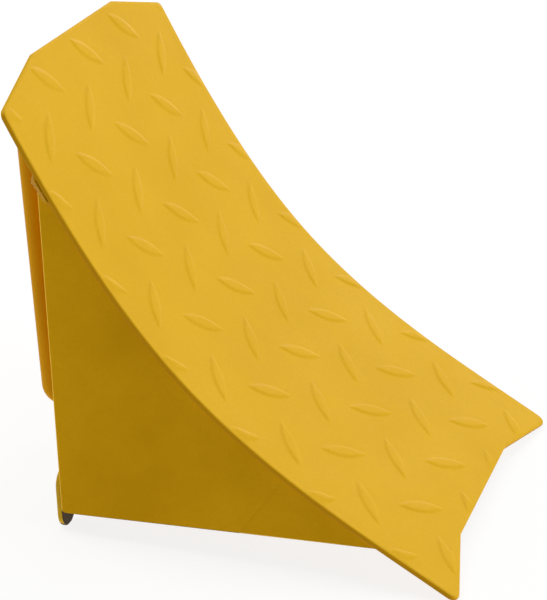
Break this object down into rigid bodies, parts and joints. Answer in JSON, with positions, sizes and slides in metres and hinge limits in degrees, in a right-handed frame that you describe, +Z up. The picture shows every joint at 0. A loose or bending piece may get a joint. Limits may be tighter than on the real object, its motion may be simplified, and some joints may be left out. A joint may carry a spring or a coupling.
{
  "type": "wheel chock",
  "caption": "Welded steel wheel chock with a curved raised-lug tread, clipped top corners, a notched toe, side plates, a rear D handle and rear foot tabs.",
  "frame": {"origin": "on the ground, under the middle of the chock's bounding box, with the chock standing on its two toe prongs and its two foot tabs", "axes": "+Z up, +X from the handle towards the toe, which is pushed under the tyre, +Y to the chock's left"},
  "size_m": [0.2886, 0.2286, 0.2503],
  "materials": {
    "tread_paint": "satin yellow enamel on rolled floor plate",
    "plate_paint": "satin yellow enamel on flat plate",
    "handle_paint": "satin yellow enamel on round bar",
    "foot_paint": "satin yellow enamel, scuffed dark where it meets the ground",
    "weld_paint": "satin yellow enamel over weld beads"
  },
  "bodies": {
    "root": {"foot_tab_left": "foot_paint", "foot_tab_right": "foot_paint", "rear_handle": "handle_paint", "rear_plate": "plate_paint", "side_plate_left": "plate_paint", "side_plate_right": "plate_paint", "toe_gusset_left": "plate_paint", "toe_gusset_right": "plate_paint", "tread_plate": "tread_paint", "weld_corner_left": "weld_paint", "weld_corner_right": "weld_paint", "weld_foot_left": "weld_paint", "weld_foot_right": "weld_paint", "weld_gusset_left": "weld_paint", "weld_gusset_right": "weld_paint", "weld_handle_lower": "weld_paint", "weld_handle_upper": "weld_paint", "weld_rear_top": "weld_paint", "weld_seam_left": "weld_paint", "weld_seam_right": "weld_paint", "weld_stitch_left": "weld_paint", "weld_stitch_right": "weld_paint"}
  },
  "joints": []
}
